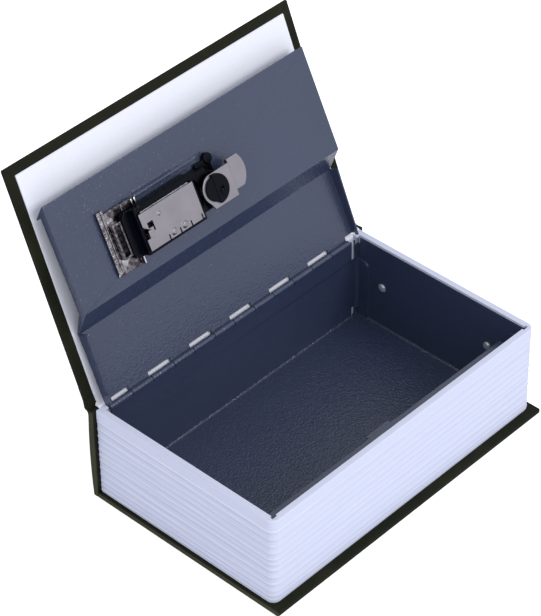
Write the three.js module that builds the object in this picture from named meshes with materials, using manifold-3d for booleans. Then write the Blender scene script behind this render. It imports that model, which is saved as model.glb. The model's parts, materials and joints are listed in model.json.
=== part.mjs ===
// Book diversion safe, standing open: a hollow book with a steel tray, a stepped steel lid and a dial lock.
// Millimetres. X runs along the spine, -Y towards the fore-edge, +Z up.
// The origin lies under the middle of the page block, on the surface that the book rests on.
import * as THREE from "three";
import { mergeVertices } from "three/addons/utils/BufferGeometryUtils.js";
import Module from "manifold-3d";

const wasm = await Module();
wasm.setup();

// Fits that every piece shares
const clearance = 0.3; // gap between two pieces that don't bear on each other
const running = 0.1; // gap round a shaft or a pin in its bore
const overrun = 2; // how far a cutting shape runs past the face that it cuts
const smallSteps = 20; // sides of a small round piece
const roundSteps = 36; // sides of a large round piece
const cornerSteps = 4; // sides of a rounded corner

// Book case: three boards, one endpaper and the cloth of the front joint
const board = { thickness: 2.5, endOverhang: 2, frontOverhang: 4.3 };
const spine = { thickness: 2.7, topDrop: 0.1 };
const page = {
  length: 176,
  width: 107.4,
  height: 49.1,
  endRim: 3.5,
  frontRim: 3.4,
  lip: 1.4,
  wall: 1.7,
  rearWall: 0.8,
  rearDrop: 1.6,
  frontCorner: 4.2,
  rearCorner: 0.6,
  edgeRound: 0.5,
  topBand: 5.4,
  grooveDepth: 0.25,
  ridgeHalf: 0.8,
  reliefOut: 1,
  reliefLength: 1.7,
};
const ridgeShares = [0.137, 0.228, 0.308, 0.391, 0.468, 0.54, 0.601, 0.697, 0.78, 0.861, 0.919, 0.972];
const cover = {
  openAngle: THREE.MathUtils.degToRad(112),
  pivotOut: 1.7,
  pivotDrop: 0.5,
  faceOffset: 1.8,
  paper: 0.3,
  board: 1.9,
  rearStart: 1.5,
  length: 118.2,
  leftInset: 1.1,
  endTurnIn: 5.3,
  frontTurnIn: 4.7,
  paperStart: 1.8,
};
const jointCloth = { thickness: 0.5, drop: 8, lip: 0.8, bend: 0.2 };
const jointPaper = { thickness: 0.3, endGap: 5.3 };

// Steel tray inside the page block
const tray = {
  sheet: 0.8,
  rearTabWidth: 7.2,
  rearTabHeight: 34.9,
  frontTabWidth: 9.3,
  frontTabHeight: 41,
  tabRound: 3,
  reliefInset: 2.1,
  reliefWidth: 2.2,
  reliefTop: 12.4,
  floorReliefHeight: 5.2,
  notchWidth: 2,
  notchDepth: 4.4,
};
const rail = { sheet: 0.8, height: 37.7, depth: 10.7, endGap: 4.5, leg: 9.5 };
const strike = { width: 15, sheet: 0.8, seat: 8.2, reach: 5.3, drop: 4.2 };
const rivet = { headRadius: 2.3, crownRadius: 1.3, head: 1.2, shankRadius: 1, shank: 1.7 };
const rearRivet = { inset: 16.6, rise: 24.5 }; // inset from the tray's rear
const frontRivet = { inset: 22, rise: 25.4 }; // inset from the tray's front

// Lid hinge: six knuckles on the tray and six on the lid, one after the other
const hinge = {
  pinRadius: 0.8,
  knuckleRadius: 1.6,
  pairs: 6,
  startGap: 0.4,
  endGap: 5.4,
  drop: 0.8,
  gap: 0.3,
};
const lid = {
  openAngle: THREE.MathUtils.degToRad(116),
  sheet: 0.9,
  sideGap: 2.3,
  frontGap: 1.5,
  frontLength: 52.2,
  riserRun: 10.2,
  step: 11,
  notchDepth: 3.3,
  rearFlangeLow: 4.8,
  rearFlangeHigh: 6.7,
  rearFlangeStart: 2.2,
  rearFlangeEndGap: 0.5,
  frontFlangeDepth: 3.7,
  foldRise: 7,
  foldRun: 6,
};

const bead = { startGap: 1.7, right: 3.1, rise: 14.3, width: 0.8, height: 0.4 };

// Combination lock. Its places are counted from the spindle
const lock = { spindleX: 0.5, spindleInset: 32.2 }; // inset from the lid's free edge
const faceplate = {
  left: 52.5,
  right: 15,
  below: 16,
  above: 16.5,
  thickness: 1.6,
  corner: 4,
  windowTuck: 0.3,
};
const body = {
  left: 50.2,
  mainLeft: 45.1,
  mainRight: 9,
  endCorner: 2.4,
  noseRadius: 8.2,
  noseAbove: 10.4,
  below: 10.4,
  above: 11.6,
  mainHeight: 8.1,
  spindleHeight: 6.5,
  leftHeight: 4,
  wall: 2,
  bossRadius: 2.5,
  bossHeight: 2.4,
  footHeight: 1.6,
};
const upperBoss = { offset: 7, rise: 11.8 };
const lowerBoss = { offset: -7.6, rise: -8 };
const plate = { left: 44.2, right: 10.8, below: 8.8, above: 9, thickness: 0.8 };
const plateHole = { offset: 40.1, rise: 2.4, width: 2.6, slitWidth: 0.8, slitLength: 3.4 };
const plateNotch = { depth: 3.8, low: -3.3, high: 2.9, shoulder: -0.1 };
const plateSlit = { width: 0.7, length: 2.4 };
const plateDimple = { radius: 2.4, crownRadius: 1.1, height: 0.9, shift: 2.9, rise: -6.2 };
const plateStud = { offset: 33.5, rise: 4.8, radius: 1.6, crownRadius: 0.7, height: 0.6 };
const dial = {
  count: 3,
  pitch: 6.77,
  offset: 15.35,
  rise: 0.2,
  height: 1.7,
  radius: 6.3,
  width: 5.2,
  flats: 10,
};
const sleeve = { radius: 2.8, width: 0.9, flat: 2.1 };
const shaft = { radius: 1.2, endGap: 0.3 };
const detent = { thickness: 0.35, height: 5.4, bump: 1.2 };
const fence = { width: 1.4, height: 3, endGap: 1.1 };
const clip = {
  left: 59.5,
  bottomArm: 44.6,
  topArm: 38.2,
  below: 14.4,
  above: 15.2,
  rimBelow: 13,
  rimAbove: 17,
  sheet: 0.8,
  barWidth: 1.9,
  barHeight: 0.7,
  railGap: 0.5,
  railWidth: 1.5,
  railHeight: 0.5,
  tongueGap: 0.2,
  tongueWidth: 4.9,
  tongueBelow: 7.6,
  tongueAbove: 9.2,
  tongueHeight: 3,
  tongueWall: 0.9,
  tabHeight: 2.2,
  tabWidth: 0.7,
  tabPitch: 1.9,
  stepInset: 4,
  stepHeight: 1,
};
const resetLever = {
  left: 42.8,
  width: 1.4,
  low: -2.9,
  length: 1.4,
  sink: 3.4,
  head: 0.7,
  headWidth: 2.3,
  headLength: 3.4,
};
const spindle = {
  radius: 4,
  discRadius: 7,
  disc: 1.1,
  stepRadius: 6,
  stepDepth: 0.5,
  stepShift: 0.9,
  socket: 2.1,
  socketDepth: 1.3,
  socketShift: 2.4,
  socketRise: -1.1,
  knobDepth: 2.9,
};
const collar = { radius: 6, height: 1.2 };
const cam = {
  sheet: 1.2,
  hubRadius: 7.5,
  cornerLeft: 3.6,
  below: 8.6,
  above: 7.4,
  jogStart: 11,
  jogRun: 1.2,
  jogDrop: 1.8,
  reach: 21,
  tipRadius: 11,
  tipRise: 1.6,
  tipAbove: 8.5,
  tipBelow: 6.5,
};
const hubArcShares = { start: 0.58, end: 1.25 }; // of half a turn
const knob = { radius: 8.2, flange: 1.5, gripLength: 15.4, gripWidth: 5.4, grip: 3.2 };
const screw = { headRadius: 2.4, crownRadius: 1.7, head: 1.3, shankRadius: 1.2 };

// Sizes that follow from the ones above
const pageBase = board.thickness;
const pageTop = pageBase + page.height;
const pageEnd = page.length / 2;
const pageFront = -page.width / 2;
const pageRear = page.width / 2;
const boardEnd = pageEnd + board.endOverhang;
const spineOut = pageRear + spine.thickness;
const trayInnerEnd = pageEnd - page.endRim;
const trayInnerFront = pageFront + page.frontRim;
const trayEnd = trayInnerEnd + tray.sheet;
const trayFront = trayInnerFront - tray.sheet;
const trayRear = pageRear - page.rearWall - clearance;
const trayInnerRear = trayRear - tray.sheet;
const trayFloor = pageBase + tray.sheet;
const trayWallTop = pageTop - page.lip - clearance;
const spineTop = pageTop - spine.topDrop;
const railTop = pageBase + rail.height;
const railEdge = trayInnerFront + rail.depth;
const boreRadius = hinge.pinRadius + running;
const hingeY = trayRear - hinge.knuckleRadius;
const hingeZ = pageTop - hinge.drop;
const lidHalf = trayInnerEnd - lid.sideGap;
const hingeStart = -lidHalf + hinge.startGap;
const hingeEnd = lidHalf - hinge.endGap;
const knucklePitch = (hingeEnd - hingeStart) / hinge.pairs;
const knuckleLength = knucklePitch / 2;
const lidLength = hingeY - trayInnerFront - lid.frontGap;
const riserEnd = lidLength - lid.frontLength;
const riserStart = riserEnd - lid.riserRun;
const spindleReach = lidLength - lock.spindleInset;
const lidOuter = -hinge.knuckleRadius;
const lidInner = lidOuter + lid.sheet;
const recessOuter = lidOuter + lid.step;
const recessInner = lidInner + lid.step;
const lockFloor = recessInner + clearance;
const bodyTop = lockFloor + body.mainHeight;
const spindleSeat = lockFloor + body.spindleHeight;
const plateBase = bodyTop + clearance;
const plateTop = plateBase + plate.thickness;
const dialAxisDepth = lockFloor + dial.height;
const dialAxisReach = spindleReach + dial.rise;
const cavityLeft = lock.spindleX - body.mainLeft + body.wall;
const cavityRight = lock.spindleX - body.mainRight - body.wall;
const cavityBelow = spindleReach - body.below + body.wall;
const cavityAbove = spindleReach + body.above - body.wall;
const faceplateBack = recessOuter - clearance;
const faceplateFront = faceplateBack - faceplate.thickness;
const knobFoot = faceplateFront - clearance;
const screwEnd = lockFloor + body.bossHeight / 2;
const hubLow = spindleSeat + clearance + collar.height + clearance;
const hubHigh = hubLow + cam.sheet;

const bosses = [upperBoss, lowerBoss];
const rivetRows = [
  { y: trayRear - rearRivet.inset, rise: rearRivet.rise },
  { y: trayFront + frontRivet.inset, rise: frontRivet.rise },
];

// Turning shapes into solids and back

function toSolid(geometry) {
  const bare = geometry.clone();
  bare.deleteAttribute("normal");
  bare.deleteAttribute("uv");
  const merged = mergeVertices(bare);
  const vertProperties = new Float32Array(merged.attributes.position.array);
  const triVerts = new Uint32Array(merged.index.array);
  return new wasm.Manifold(new wasm.Mesh({ numProp: 3, vertProperties, triVerts }));
}

function toGeometry(solid) {
  const mesh = solid.getMesh();
  const geometry = new THREE.BufferGeometry();
  geometry.setAttribute("position", new THREE.BufferAttribute(new Float32Array(mesh.vertProperties), 3));
  geometry.setIndex(new THREE.BufferAttribute(new Uint32Array(mesh.triVerts), 1));
  geometry.computeVertexNormals();
  return geometry;
}

function join(...solids) {
  return solids.reduce((whole, next) => whole.add(next));
}

function cut(solid, ...cutters) {
  return cutters.reduce((left, next) => left.subtract(next), solid);
}

// A box between two corners
function block(x0, x1, y0, y1, z0, z1) {
  const geometry = new THREE.BoxGeometry(x1 - x0, y1 - y0, z1 - z0);
  geometry.translate((x0 + x1) / 2, (y0 + y1) / 2, (z0 + z1) / 2);
  return toSolid(geometry);
}

// A round bar along Z, which may taper from its low end to its high end
function roundZ(x, y, z0, z1, lowRadius, highRadius = lowRadius, steps = smallSteps) {
  const geometry = new THREE.CylinderGeometry(highRadius, lowRadius, z1 - z0, steps);
  geometry.rotateX(Math.PI / 2);
  geometry.translate(x, y, (z0 + z1) / 2);
  return toSolid(geometry);
}

// A round bar along X
function roundX(x0, x1, y, z, lowRadius, highRadius = lowRadius, steps = smallSteps) {
  const geometry = new THREE.CylinderGeometry(highRadius, lowRadius, x1 - x0, steps);
  geometry.rotateZ(-Math.PI / 2);
  geometry.translate((x0 + x1) / 2, y, z);
  return toSolid(geometry);
}

function outlineGeometry(points, depth) {
  const shape = new THREE.Shape(points.map(([a, b]) => new THREE.Vector2(a, b)));
  return new THREE.ExtrudeGeometry(shape, { depth, bevelEnabled: false });
}

// An outline of [x, y] points, raised from z0 to z1
function prismZ(points, z0, z1) {
  return toSolid(outlineGeometry(points, z1 - z0).translate(0, 0, z0));
}

// An outline of [y, z] points, run from x0 to x1
function prismX(points, x0, x1) {
  const turn = new THREE.Matrix4().set(0, 0, 1, x0, 1, 0, 0, 0, 0, 1, 0, 0, 0, 0, 0, 1);
  return toSolid(outlineGeometry(points, x1 - x0).applyMatrix4(turn));
}

// An outline of [z, x] points, run from y0 to y1
function prismY(points, y0, y1) {
  const turn = new THREE.Matrix4().set(0, 1, 0, 0, 0, 0, 1, y0, 1, 0, 0, 0, 0, 0, 0, 1);
  return toSolid(outlineGeometry(points, y1 - y0).applyMatrix4(turn));
}

function arcPoints(cx, cy, radius, from, to, steps) {
  return Array.from({ length: steps + 1 }, (_, i) => {
    const angle = from + ((to - from) * i) / steps;
    return [cx + radius * Math.cos(angle), cy + radius * Math.sin(angle)];
  });
}

// A rectangle with rounded corners, as a list of points, front corners first
function roundedRectangle(x0, x1, y0, y1, frontRadius, rearRadius = frontRadius) {
  const quarter = Math.PI / 2;
  return [
    ...arcPoints(x0 + frontRadius, y0 + frontRadius, frontRadius, 2 * quarter, 3 * quarter, cornerSteps),
    ...arcPoints(x1 - frontRadius, y0 + frontRadius, frontRadius, 3 * quarter, 4 * quarter, cornerSteps),
    ...arcPoints(x1 - rearRadius, y1 - rearRadius, rearRadius, 0, quarter, cornerSteps),
    ...arcPoints(x0 + rearRadius, y1 - rearRadius, rearRadius, quarter, 2 * quarter, cornerSteps),
  ];
}

// A closed skin over a stack of convex rings, each a list of [x, y] points at its own height
function stackedRings(rings) {
  const size = rings[0].points.length;
  const positions = rings.flatMap(({ points, z }) => points.flatMap(([x, y]) => [x, y, z]));
  const index = [];
  for (let level = 0; level + 1 < rings.length; level += 1) {
    for (let i = 0; i < size; i += 1) {
      const low = level * size + i;
      const lowNext = level * size + ((i + 1) % size);
      index.push(low, lowNext, lowNext + size, low, lowNext + size, low + size);
    }
  }
  const top = (rings.length - 1) * size;
  for (let i = 1; i + 1 < size; i += 1) {
    index.push(0, i + 1, i);
    index.push(top, top + i, top + i + 1);
  }
  const geometry = new THREE.BufferGeometry();
  geometry.setAttribute("position", new THREE.Float32BufferAttribute(positions, 3));
  geometry.setIndex(index);
  return toSolid(geometry);
}

function finish(color, roughness, metalness) {
  return () => new THREE.MeshStandardMaterial({ color, roughness, metalness });
}

const olive = finish(0x2a2c1f, 0.75, 0);
const paper = finish(0xe9ebfa, 0.9, 0);
const whitePlastic = finish(0xd9def2, 0.6, 0);
const slateSteel = finish(0x3a4460, 0.55, 0.2);
const nickel = finish(0x9a949c, 0.3, 0.9);
const chrome = finish(0xb8b6ba, 0.12, 1);
const blackPlastic = finish(0x0d1018, 0.4, 0);
const zinc = finish(0xa9adb8, 0.35, 0.8);

const book = new THREE.Group();
const coverGroup = new THREE.Group();
const lidGroup = new THREE.Group();
coverGroup.position.set(0, pageRear + cover.pivotOut, pageTop - cover.pivotDrop);
coverGroup.rotation.x = Math.PI - cover.openAngle;
lidGroup.position.set(0, hingeY, hingeZ);
lidGroup.rotation.x = Math.PI - lid.openAngle;
book.add(coverGroup, lidGroup);

function place(group, name, solid, material) {
  const mesh = new THREE.Mesh(toGeometry(solid), material());
  mesh.name = name;
  group.add(mesh);
  return mesh;
}

// Book case

function backCoverBoard() {
  return block(-boardEnd, boardEnd, pageFront - board.frontOverhang, pageRear, 0, board.thickness);
}

function spineBoard() {
  return block(-boardEnd, boardEnd, pageRear, spineOut, 0, spineTop);
}

// In the cover's own frame, Y runs from the joint to the fore-edge and Z towards the pages
function frontCoverBoard() {
  const left = -boardEnd + cover.leftInset;
  const inner = -cover.faceOffset - cover.paper - clearance;
  return block(left, boardEnd, cover.rearStart, cover.length, inner - cover.board, inner);
}

function frontEndpaper() {
  const end = boardEnd - cover.endTurnIn;
  const inner = -cover.faceOffset;
  const front = cover.length - cover.frontTurnIn;
  return block(-end + cover.leftInset, end, cover.paperStart, front, inner - cover.paper, inner);
}

// The cloth lies on the spine and flares out under the open cover's edge
function frontJointCloth() {
  const out = spineOut + jointCloth.thickness;
  const lipEnd = spineOut + jointCloth.lip;
  const lipUnder = spineTop - jointCloth.thickness;
  const outline = [
    [spineOut, spineTop - jointCloth.drop],
    [out, spineTop - jointCloth.drop],
    [out, lipUnder - jointCloth.bend],
    [out + jointCloth.bend, lipUnder],
    [lipEnd, lipUnder],
    [lipEnd, spineTop],
    [spineOut, spineTop],
  ];
  return prismX(outline, -boardEnd, boardEnd);
}

// The white paper goes on over the joint, from the cover to the pages
function jointPaperStrip() {
  const end = boardEnd - jointPaper.endGap;
  return block(-end, end, pageRear, spineOut + jointCloth.lip, spineTop, spineTop + jointPaper.thickness);
}

// Page block: a moulded frame whose outside is ribbed like page edges

function pageRing(z, inset) {
  const points = roundedRectangle(
    -pageEnd + inset,
    pageEnd - inset,
    pageFront + inset,
    pageRear - inset,
    page.frontCorner - inset,
    page.rearCorner - inset,
  );
  return { points, z };
}

function pageBlock() {
  const ridgeRings = ridgeShares.flatMap((share) => {
    const z = pageTop - share * page.height;
    return [
      pageRing(z + page.ridgeHalf, page.grooveDepth),
      pageRing(z, 0),
      pageRing(z - page.ridgeHalf, page.grooveDepth),
    ];
  });
  const outside = stackedRings([
    pageRing(pageBase, page.grooveDepth),
    ...ridgeRings.reverse(),
    pageRing(pageTop - page.topBand - page.grooveDepth, page.grooveDepth),
    pageRing(pageTop - page.topBand, 0),
    pageRing(pageTop - page.edgeRound, 0),
    pageRing(pageTop, page.edgeRound),
  ]);
  const cavityEnd = pageEnd - page.wall;
  const cavityFront = trayFront - clearance;
  const cavityRear = pageRear - page.rearWall;
  const cavityTop = pageTop - page.lip;
  const cavity = block(-cavityEnd, cavityEnd, cavityFront, cavityRear, pageBase - overrun, cavityTop);
  const mouth = block(-trayInnerEnd, trayInnerEnd, trayInnerFront, hingeY, pageBase, pageTop + overrun);
  const hingeWell = block(
    -lidHalf - clearance,
    lidHalf + clearance,
    trayInnerFront,
    pageRear + overrun,
    pageTop - page.rearDrop,
    pageTop + overrun,
  );
  const holes = rivetPlaces().map(({ side, y, z }) => {
    const inner = side * trayInnerEnd;
    const outer = side * (trayInnerEnd + rivet.shank + clearance);
    return roundX(Math.min(inner, outer), Math.max(inner, outer), y, z, rivet.shankRadius + clearance);
  });
  const reliefs = [-1, 1].map((side) => {
    const x = side * trayInnerEnd;
    const inner = x - side * overrun;
    const outer = x + side * page.reliefOut;
    const x0 = Math.min(inner, outer);
    const x1 = Math.max(inner, outer);
    const front = trayInnerFront - page.reliefOut;
    return block(x0, x1, front, front + page.reliefLength, pageBase, pageTop + overrun);
  });
  return cut(outside, cavity, mouth, hingeWell, ...reliefs, ...holes);
}

// Steel tray

function rivetPlaces() {
  return [-1, 1].flatMap((side) => rivetRows.map(({ y, rise }) => ({ side, y, z: pageBase + rise })));
}

// A tab folded from the front or rear wall onto the inside of an end wall
function cornerTab(side, wallY, tabWidth, tabHeight) {
  const edgeY = wallY - Math.sign(wallY) * tabWidth;
  const inward = Math.sign(wallY);
  const top = pageBase + tabHeight;
  const round = tray.tabRound;
  const quarter = Math.PI / 2;
  const turned = quarter + inward * quarter;
  const corner = arcPoints(edgeY + inward * round, top - round, round, quarter, turned, cornerSteps);
  const outline = [[wallY, pageBase], [wallY, top], ...corner, [edgeY, pageBase]];
  const ordered = inward > 0 ? outline : outline.reverse();
  const inner = side * (trayInnerEnd - tray.sheet);
  const outer = side * trayInnerEnd;
  return prismX(ordered, Math.min(inner, outer), Math.max(inner, outer));
}

function knuckleStart(pair, onLid) {
  return hingeStart + pair * knucklePitch + (onLid ? knuckleLength : 0);
}

function trayKnuckles() {
  return Array.from({ length: hinge.pairs }, (_, pair) => {
    const start = knuckleStart(pair, false);
    const wall = block(start, start + knuckleLength, trayInnerRear, trayRear, trayFloor, hingeZ);
    return join(wall, roundX(start, start + knuckleLength, hingeY, hingeZ, hinge.knuckleRadius));
  });
}

function boxTray() {
  const wallDrop = hingeZ - hinge.knuckleRadius - hinge.gap;
  const floor = block(-trayEnd, trayEnd, trayFront, trayRear, pageBase, trayFloor);
  const ends = [-1, 1].map((side) => {
    const inner = side * trayInnerEnd;
    const outer = side * trayEnd;
    return block(Math.min(inner, outer), Math.max(inner, outer), trayFront, trayRear, pageBase, trayWallTop);
  });
  const front = block(-trayEnd, trayEnd, trayFront, trayInnerFront, pageBase, trayWallTop);
  const rear = block(-trayEnd, trayEnd, trayInnerRear, trayRear, pageBase, wallDrop);
  const tabs = [-1, 1].flatMap((side) => [
    cornerTab(side, trayInnerRear, tray.rearTabWidth, tray.rearTabHeight),
    cornerTab(side, trayInnerFront, tray.frontTabWidth, tray.frontTabHeight),
  ]);
  const whole = join(floor, ...ends, front, rear, ...tabs, ...trayKnuckles());
  const bore = roundX(-trayEnd, trayEnd, hingeY, hingeZ, boreRadius);
  const reliefs = [-1, 1].flatMap((side) => {
    const inner = side * (trayInnerEnd - tray.reliefInset - tray.reliefWidth);
    const outer = side * (trayInnerEnd - tray.reliefInset);
    const x0 = Math.min(inner, outer);
    const x1 = Math.max(inner, outer);
    const y1 = trayRear + overrun;
    const slot = block(x0, x1, trayInnerRear, y1, trayWallTop - tray.reliefTop, pageTop);
    const floorSlot = block(x0, x1, trayInnerRear, y1, trayFloor, trayFloor + tray.floorReliefHeight);
    const wallInner = side * (trayInnerEnd - overrun);
    const wallOuter = side * (trayEnd + overrun);
    const notchX0 = Math.min(wallInner, wallOuter);
    const notchX1 = Math.max(wallInner, wallOuter);
    const notchLow = trayWallTop - tray.notchDepth;
    const notch = block(notchX0, notchX1, trayRear - tray.notchWidth, y1, notchLow, pageTop);
    return [slot, floorSlot, notch];
  });
  const holes = rivetPlaces().map(({ side, y, z }) => {
    const inner = side * (trayInnerEnd - overrun);
    const outer = side * (trayEnd + overrun);
    return roundX(Math.min(inner, outer), Math.max(inner, outer), y, z, rivet.shankRadius + clearance);
  });
  return cut(whole, bore, ...reliefs, ...holes);
}

function caseRivet({ side, y, z }) {
  const face = side * trayInnerEnd;
  const crown = face - side * rivet.head;
  const tip = face + side * rivet.shank;
  const head =
    side > 0
      ? roundX(crown, face, y, z, rivet.crownRadius, rivet.headRadius)
      : roundX(face, crown, y, z, rivet.headRadius, rivet.crownRadius);
  return join(head, roundX(Math.min(face, tip), Math.max(face, tip), y, z, rivet.shankRadius));
}

function hingePin() {
  return roundX(hingeStart, hingeEnd, hingeY, hingeZ, hinge.pinRadius);
}

// An angle along the front wall, which the shut lid rests on
function lidRestRail() {
  const end = trayInnerEnd - rail.endGap;
  const shelf = block(-end, end, trayInnerFront, railEdge, railTop - rail.sheet, railTop);
  const leg = block(-end, end, trayInnerFront, trayInnerFront + rail.sheet, railTop - rail.leg, railTop);
  return join(shelf, leg);
}

// A hooked strip welded under the rail, which the cam turns under
function latchStrike() {
  const under = railTop - rail.sheet;
  const outer = railEdge + strike.sheet;
  const low = under - strike.drop;
  const outline = [
    [railEdge - strike.seat, under],
    [railEdge - strike.seat, under - strike.sheet],
    [railEdge, under - strike.sheet],
    [railEdge, low - strike.sheet],
    [railEdge + strike.reach, low - strike.sheet],
    [railEdge + strike.reach, low],
    [outer, low],
    [outer, under],
  ];
  return prismX(outline, lock.spindleX - strike.width / 2, lock.spindleX + strike.width / 2);
}

// Lid. In its own frame, Y runs from the pin to the free edge and Z towards the inside of the box

function lidSheet() {
  const outline = [
    [0, lidOuter],
    [riserStart, lidOuter],
    [riserEnd, recessOuter],
    [lidLength, recessOuter],
    [lidLength, recessInner],
    [riserEnd - lid.sheet / 2, recessInner],
    [riserStart - lid.sheet / 2, lidInner],
    [0, lidInner],
  ];
  return prismX(outline, -lidHalf, lidHalf);
}

// The free edge is folded back under the panel, towards the cover
function lidFold() {
  const backReach = lidLength - lid.foldRun;
  const tip = recessOuter - lid.foldRise;
  const outline = [
    [lidLength, recessInner],
    [lidLength - lid.sheet, recessInner],
    [backReach - lid.sheet, tip],
    [backReach, tip],
    [lidLength, recessOuter],
  ];
  return prismX(outline, -lidHalf, lidHalf);
}

function lidFlanges() {
  return [-1, 1].flatMap((side) => {
    const inner = side * (lidHalf - lid.sheet);
    const x0 = Math.min(inner, side * lidHalf);
    const x1 = Math.max(inner, side * lidHalf);
    const rearEnd = riserStart - lid.rearFlangeEndGap;
    const outline = [
      [lid.rearFlangeStart, lidOuter],
      [rearEnd, lidOuter],
      [rearEnd, lidOuter + lid.rearFlangeHigh],
      [lid.rearFlangeStart, lidOuter + lid.rearFlangeLow],
    ];
    const rear = prismX(outline, x0, x1);
    const low = recessOuter - lid.frontFlangeDepth;
    const frontOutline = [
      [riserStart, lidOuter],
      [riserEnd, low],
      [lidLength - (lid.foldRun * lid.frontFlangeDepth) / lid.foldRise, low],
      [lidLength, recessOuter],
      [lidLength, recessInner],
      [riserEnd - lid.sheet / 2, recessInner],
      [riserStart - lid.sheet / 2, lidInner],
    ];
    const front = prismX(frontOutline, x0, x1);
    return [rear, front];
  });
}

function lidKnuckles() {
  return Array.from({ length: hinge.pairs }, (_, pair) => {
    const start = knuckleStart(pair, true);
    return roundX(start + hinge.gap, start + knuckleLength - hinge.gap, 0, 0, hinge.knuckleRadius);
  });
}

function lidNotches() {
  return Array.from({ length: hinge.pairs }, (_, pair) => {
    const start = knuckleStart(pair, false) - hinge.gap;
    const end = start + knuckleLength + 2 * hinge.gap;
    return block(start, end, -overrun, lid.notchDepth, lidOuter - overrun, lidInner + overrun);
  });
}

// A low bead pressed into the panel along the lock
function panelBead() {
  const x0 = lock.spindleX - clip.topArm + bead.startGap;
  const y0 = spindleReach + bead.rise;
  return block(x0, lock.spindleX + bead.right, y0, y0 + bead.width, recessOuter, recessInner + bead.height);
}

// Windows in the recessed panel for the dials, the spindle and the two screws
function lidWindows() {
  const low = recessOuter - overrun;
  const high = recessInner + overrun;
  const window = block(cavityLeft, cavityRight, cavityBelow, cavityAbove, low, high);
  const spindleHole = roundZ(lock.spindleX, spindleReach, low, high, spindle.radius + clearance);
  return [window, spindleHole, ...screwHoles(low, high)];
}

function screwHoles(low, high) {
  const radius = screw.shankRadius + clearance;
  return bosses.map(({ offset, rise }) => {
    return roundZ(lock.spindleX + offset, spindleReach + rise, low, high, radius);
  });
}

function lidPanel() {
  const plain = join(lidSheet(), lidFold(), panelBead(), ...lidFlanges());
  const notched = cut(plain, ...lidNotches(), ...lidWindows());
  const low = lidOuter - overrun;
  const high = lidInner + overrun;
  const bare = block(hingeEnd - hinge.gap, lidHalf + overrun, -overrun, lid.notchDepth, low, high);
  const bore = roundX(-trayEnd, trayEnd, 0, 0, boreRadius);
  return cut(join(notched, ...lidKnuckles()), bare, bore);
}

// Combination lock

function dialCentre(number) {
  return lock.spindleX - dial.offset - (dial.count - number) * dial.pitch;
}

function dialNumbers() {
  return Array.from({ length: dial.count }, (_, i) => i + 1);
}

function lockFaceplate() {
  const x0 = lock.spindleX - faceplate.left;
  const x1 = lock.spindleX + faceplate.right;
  const y0 = spindleReach - faceplate.below;
  const y1 = spindleReach + faceplate.above;
  const slab = prismZ(roundedRectangle(x0, x1, y0, y1, faceplate.corner), faceplateFront, faceplateBack);
  const low = faceplateFront - overrun;
  const high = faceplateBack + overrun;
  const half = dial.width / 2 + clearance;
  const reach = dial.radius - faceplate.windowTuck;
  const windows = dialNumbers().map((number) => {
    const x = dialCentre(number);
    return block(x - half, x + half, dialAxisReach - reach, dialAxisReach + reach, low, high);
  });
  const bore = roundZ(lock.spindleX, spindleReach, low, high, spindle.radius + clearance);
  return cut(slab, ...windows, bore, ...screwHoles(low, high));
}

// The chamfered left end of the lock body, grown by a gap
function bodyEndOutline(gap, right) {
  const left = lock.spindleX - body.left + clearance - gap;
  const low = spindleReach - body.below - gap;
  const high = spindleReach + body.above + gap;
  return [
    [right, low],
    [left + body.endCorner, low],
    [left, low + body.endCorner],
    [left, high - body.endCorner],
    [left + body.endCorner, high],
    [right, high],
  ];
}

function lockBody() {
  const x = lock.spindleX;
  const y0 = spindleReach - body.below;
  const y1 = spindleReach + body.above;
  const main = block(x - body.mainLeft, x - body.mainRight, y0, y1, lockFloor, bodyTop);
  const left = prismZ(bodyEndOutline(0, x - body.mainLeft), lockFloor, lockFloor + body.leftHeight);
  const nose = roundZ(x, spindleReach, lockFloor, spindleSeat, body.noseRadius, body.noseRadius, roundSteps);
  const neckLow = spindleReach - body.noseRadius;
  const neck = block(x - body.mainRight, x, neckLow, spindleReach + body.noseAbove, lockFloor, spindleSeat);
  const feet = bosses.map(({ offset, rise }) => {
    const top = lockFloor + body.bossHeight;
    const round = roundZ(x + offset, spindleReach + rise, lockFloor, top, body.bossRadius);
    const stem = block(
      Math.min(x, x + offset) - body.wall / 2,
      Math.max(x, x + offset) + body.wall / 2,
      Math.min(spindleReach, spindleReach + rise),
      Math.max(spindleReach, spindleReach + rise),
      lockFloor,
      lockFloor + body.footHeight,
    );
    return join(round, stem);
  });
  const whole = join(main, left, neck, nose, ...feet);
  const low = lockFloor - overrun;
  const cavity = block(cavityLeft, cavityRight, cavityBelow, cavityAbove, low, bodyTop + overrun);
  const bore = roundZ(x, spindleReach, low, spindleSeat + overrun, spindle.radius + running);
  const journals = roundX(
    x - body.mainLeft,
    x - body.mainRight,
    dialAxisReach,
    dialAxisDepth,
    shaft.radius + running,
  );
  return cut(whole, cavity, bore, journals, ...screwHoles(low, screwEnd + clearance));
}

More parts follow.
